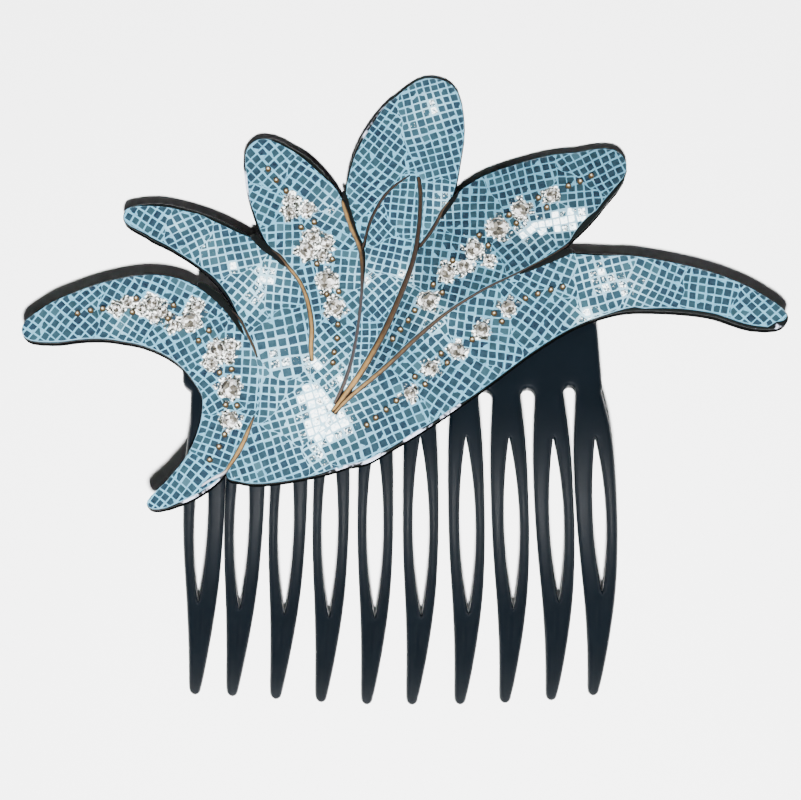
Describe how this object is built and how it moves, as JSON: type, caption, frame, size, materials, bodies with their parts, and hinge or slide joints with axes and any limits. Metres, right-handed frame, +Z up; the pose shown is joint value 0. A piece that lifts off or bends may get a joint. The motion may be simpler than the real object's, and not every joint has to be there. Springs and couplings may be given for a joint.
{
  "type": "decorated side comb",
  "caption": "Moulded side comb with curved split teeth, carrying a flat spray of mosaic leaves set with crystals and gilt beads.",
  "frame": {"origin": "centre of the bounding box's base, on the surface that the comb lies on", "axes": "+X along the comb's spine, from the crescent leaf to the long arm; +Y from the teeth to the leaves; +Z up from the surface, through the plate to the mosaic"},
  "size_m": [0.129, 0.108, 0.0186],
  "materials": {
    "comb_plastic": "glossy navy black",
    "plate_plastic": "glossy black",
    "mosaic": "small teal glass squares in pale blue joints",
    "gilt": "satin gold",
    "crystal": "clear, foil backed"
  },
  "bodies": {
    "root": {"comb": "comb_plastic", "plate": "plate_plastic", "mosaic_inner_leaf": "mosaic", "mosaic_left_arm": "mosaic", "mosaic_right_leaf": "mosaic", "mosaic_round_leaf": "mosaic", "mosaic_tall_leaf": "mosaic", "mosaic_right_arm": "mosaic", "mosaic_low_leaf": "mosaic", "mosaic_body": "mosaic", "vein_inner_right": "gilt", "vein_round_leaf": "gilt", "vein_inner_arch": "gilt", "vein_tall_leaf": "gilt", "vein_right_leaf": "gilt", "vein_low_leaf": "gilt", "vein_left_arm": "gilt", "vein_tail": "gilt", "crystal_left_arm_1": "crystal", "crystal_left_arm_2": "crystal", "crystal_left_arm_3": "crystal", "crystal_left_arm_4": "crystal", "crystal_left_arm_5": "crystal", "crystal_left_arm_6": "crystal", "crystal_round_leaf_1": "crystal", "crystal_round_leaf_2": "crystal", "crystal_round_leaf_3": "crystal", "crystal_round_leaf_4": "crystal", "crystal_right_leaf_1": "crystal", "crystal_right_leaf_2": "crystal", "crystal_right_leaf_3": "crystal", "crystal_right_leaf_4": "crystal", "crystal_right_leaf_5": "crystal", "crystal_right_leaf_6": "crystal", "crystal_right_leaf_7": "crystal", "crystal_right_arm_1": "crystal", "crystal_right_arm_2": "crystal", "crystal_right_arm_3": "crystal", "crystal_right_arm_4": "crystal", "crystal_right_arm_5": "crystal", "small_crystals_left_arm": "crystal", "small_crystals_round_leaf": "crystal", "small_crystals_right_leaf": "crystal", "beads_left_arm": "gilt", "beads_round_leaf": "gilt", "beads_right_leaf": "gilt", "beads_right_arm": "gilt"}
  },
  "joints": []
}
